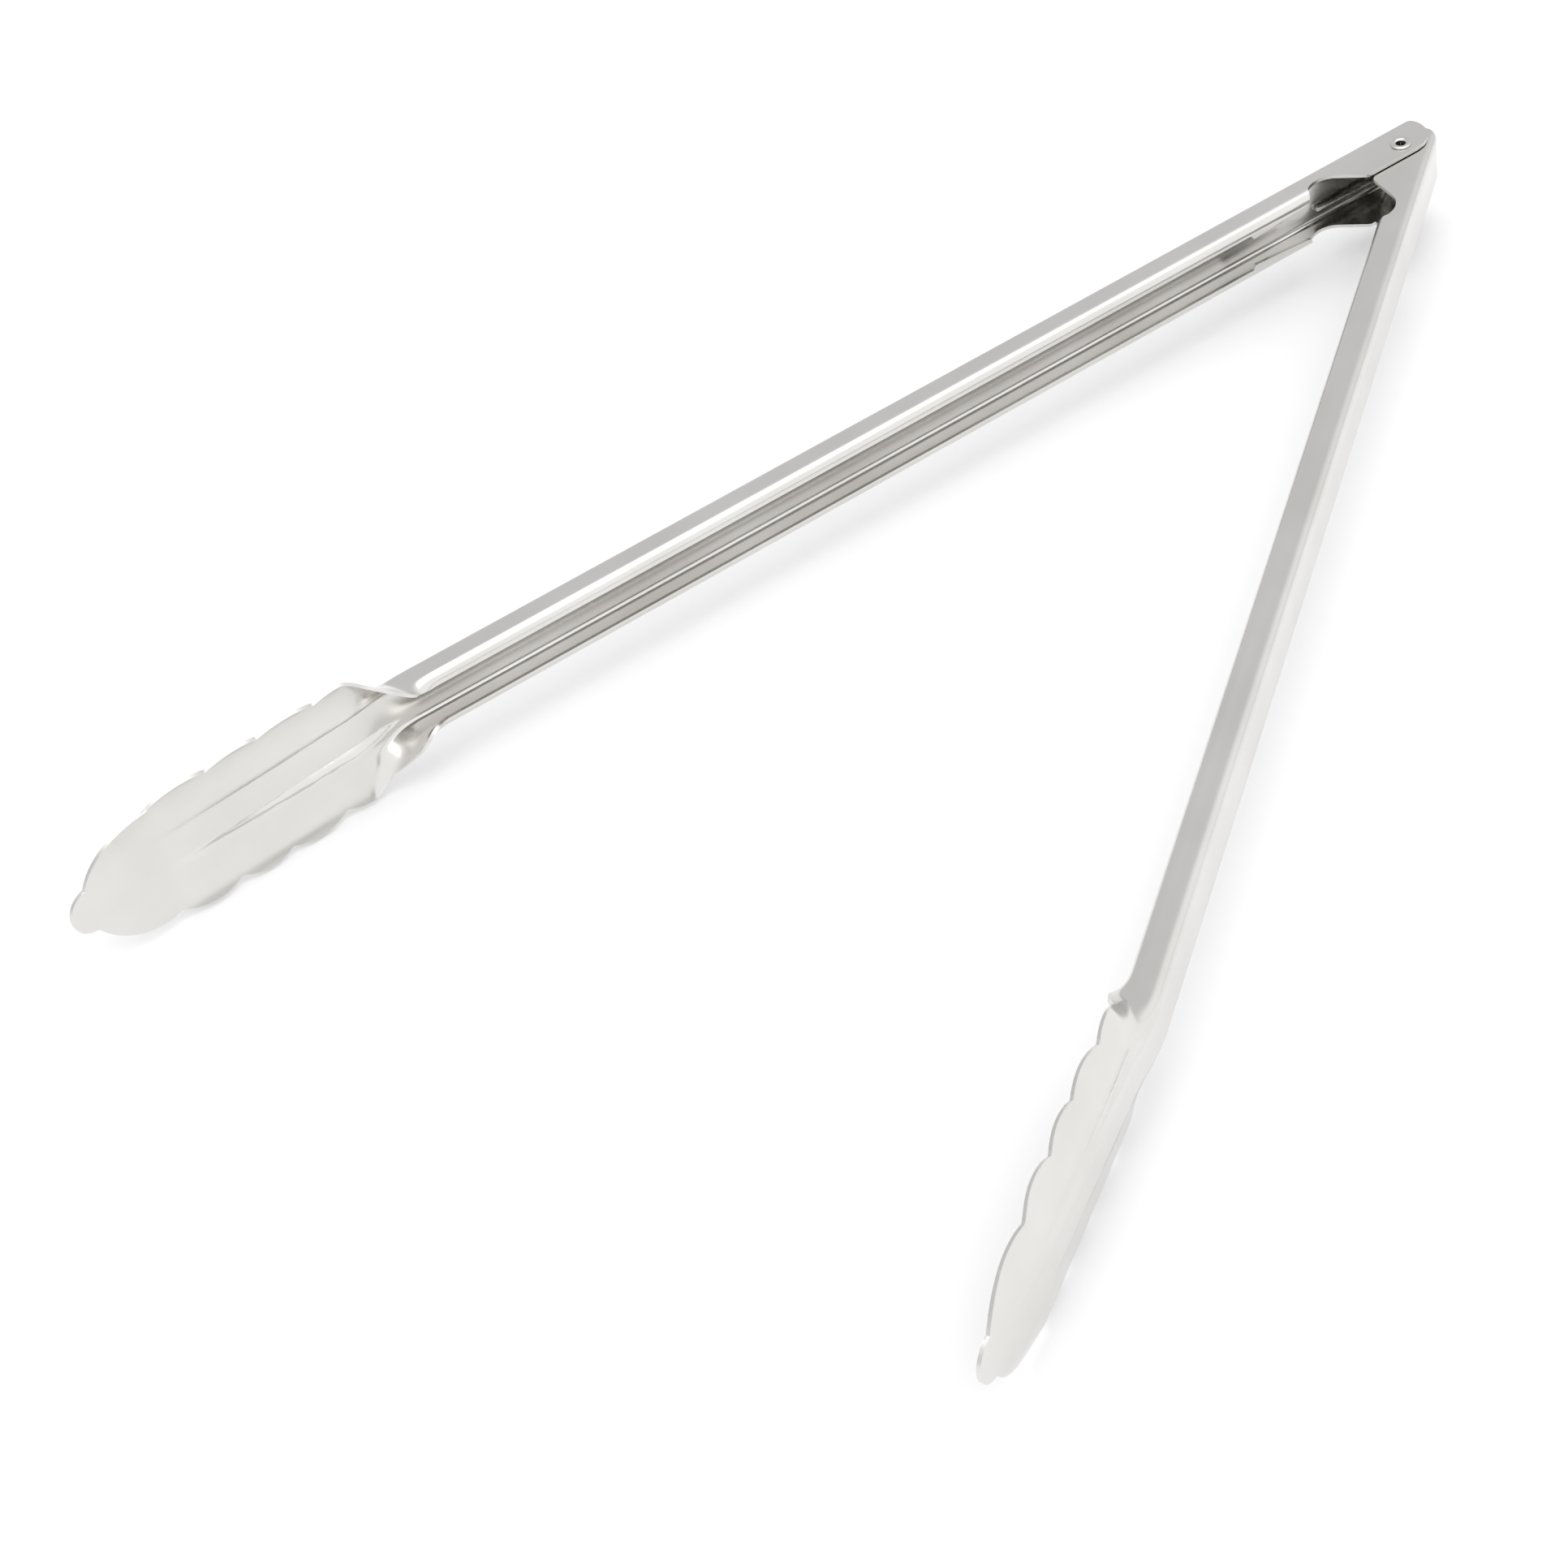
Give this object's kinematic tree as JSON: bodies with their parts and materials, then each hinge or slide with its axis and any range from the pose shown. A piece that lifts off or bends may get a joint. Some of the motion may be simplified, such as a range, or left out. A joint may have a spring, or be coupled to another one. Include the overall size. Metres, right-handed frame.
{
  "type": "spring loaded kitchen tongs",
  "caption": "Long kitchen tongs: channel-section steel arms with scalloped scoop ends, hinged on a hollow rivet and held open by a coil spring.",
  "frame": {"origin": "middle of the hinge rivet, on its axis, half way between its two heads", "axes": "+Z along the rivet, +X from the hinge towards the scoops, half way between the open arms, +Y towards the inner arm"},
  "size_m": [0.3913, 0.2536, 0.0388],
  "materials": {
    "arm_steel": "polished formed stainless sheet",
    "rivet_steel": "plain turned stainless",
    "spring_steel": "drawn spring wire"
  },
  "bodies": {
    "outer_half": {"outer_arm": "arm_steel", "hinge_rivet": "rivet_steel", "spacer_tube": "rivet_steel", "torsion_spring": "spring_steel"},
    "inner_half": {"inner_arm": "arm_steel"}
  },
  "joints": [
    {"name": "arm_hinge", "type": "hinge", "parent": "outer_half", "child": "inner_half", "pos_m": [0, 0, 0], "axis": [0, 0, 1], "range_deg": [-36.57, 0], "stiffness_Nm_per_rad": 0.5, "springref_deg": 20.05, "deforming": ["torsion_spring"]}
  ]
}
